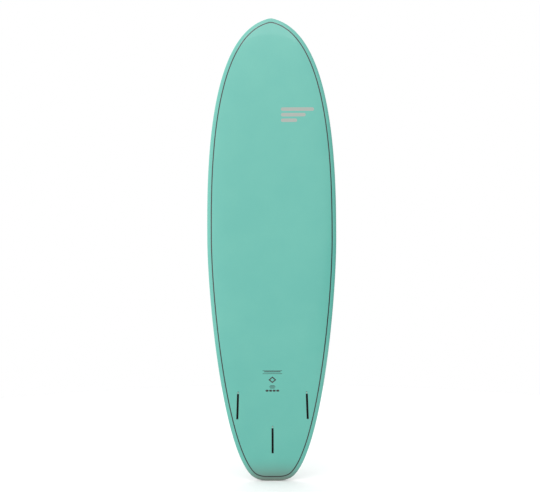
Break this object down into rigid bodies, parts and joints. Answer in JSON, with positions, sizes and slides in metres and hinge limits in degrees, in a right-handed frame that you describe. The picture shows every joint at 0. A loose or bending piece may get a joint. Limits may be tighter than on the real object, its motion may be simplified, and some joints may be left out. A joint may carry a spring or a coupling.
{
  "type": "surfboard",
  "caption": "Mid-length surfboard with a rounded nose, squash tail, painted pinlines, single-tab fin boxes, leash plug and deck vent, standing on its tail.",
  "frame": {"origin": "below the middle of the board's box, on the level of its flat tail end", "axes": "+Z from the tail to the nose, -Y out of the bottom with the fin boxes, +Y out of the deck, +X to the right as seen from the bottom side"},
  "size_m": [0.546, 0.1336, 1.981],
  "materials": {
    "glass": "gloss",
    "pinline": "gloss",
    "foam": "matte",
    "dense_foam": "matte",
    "timber": "matte",
    "box_plastic": "satin",
    "plug_plastic": "satin",
    "steel": "satin",
    "vent_brass": "satin",
    "seal_rubber": "matte"
  },
  "bodies": {
    "hull": {"bottom_skin": "glass", "deck_skin": "glass", "rail_skin": "glass", "pinline_bottom": "pinline", "pinline_deck": "pinline", "core_left": "foam", "core_right": "foam", "stringer": "timber", "fin_box_left": "box_plastic", "fin_box_right": "box_plastic", "fin_box_centre": "box_plastic", "fin_insert_left": "dense_foam", "fin_insert_right": "dense_foam", "fin_insert_centre": "dense_foam", "leash_plug": "plug_plastic", "leash_bar": "steel", "leash_insert": "dense_foam", "vent_housing": "plug_plastic", "vent_seal": "seal_rubber", "vent_insert": "dense_foam"},
    "fin_screw_left": {"fin_screw_left": "steel"},
    "fin_screw_right": {"fin_screw_right": "steel"},
    "fin_screw_centre": {"fin_screw_centre": "steel"},
    "vent_screw": {"vent_screw": "vent_brass"}
  },
  "joints": [
    {"name": "fin_screw_left_travel", "type": "slide", "parent": "hull", "child": "fin_screw_left", "axis": [0.0194, -0.8842, 0.4668], "range_m": [-0.001, 0.006]},
    {"name": "fin_screw_right_travel", "type": "slide", "parent": "hull", "child": "fin_screw_right", "axis": [-0.0194, -0.8842, 0.4668], "range_m": [-0.001, 0.006]},
    {"name": "fin_screw_centre_travel", "type": "slide", "parent": "hull", "child": "fin_screw_centre", "axis": [0, -0.8958, 0.4445], "range_m": [-0.001, 0.006]},
    {"name": "vent_screw_travel", "type": "slide", "parent": "hull", "child": "vent_screw", "axis": [0, 1, -0.0081], "range_m": [0, 0.005]}
  ]
}
